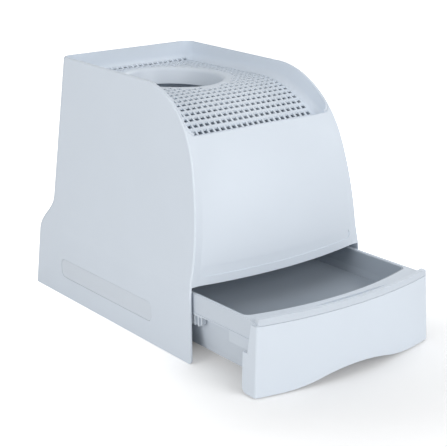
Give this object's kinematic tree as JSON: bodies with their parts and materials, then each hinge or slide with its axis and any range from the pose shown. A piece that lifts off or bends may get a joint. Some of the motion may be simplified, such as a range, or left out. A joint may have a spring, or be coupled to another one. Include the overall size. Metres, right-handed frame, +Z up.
{
  "type": "drawer litter box",
  "caption": "Enclosed litter box with an oval entry in its perforated dished top and a drawer holding a litter pan that slides out of the front.",
  "frame": {"origin": "on the floor, at the middle of the footprint with the drawer pulled out as stored", "axes": "+Z up, the drawer slides out towards -Y, +X is the right-hand side of an onlooker who faces the drawer"},
  "size_m": [0.4, 0.789, 0.4821],
  "materials": {
    "shell": "satin white moulded polypropylene",
    "rail": "plain moulded white plastic",
    "pan": "dark slate grey moulded polypropylene"
  },
  "bodies": {
    "housing": {"housing": "shell", "tread_grille": "shell", "rail_left": "rail", "rail_right": "rail"},
    "drawer": {"drawer_tray": "shell", "litter_pan": "pan", "drawer_front": "shell", "glide_front_left": "rail", "glide_front_right": "rail", "glide_rear_left": "rail", "glide_rear_right": "rail"}
  },
  "joints": [
    {"name": "drawer_slide", "type": "slide", "parent": "housing", "child": "drawer", "axis": [0, -1, 0], "range_m": [-0.145, 0.15]}
  ]
}
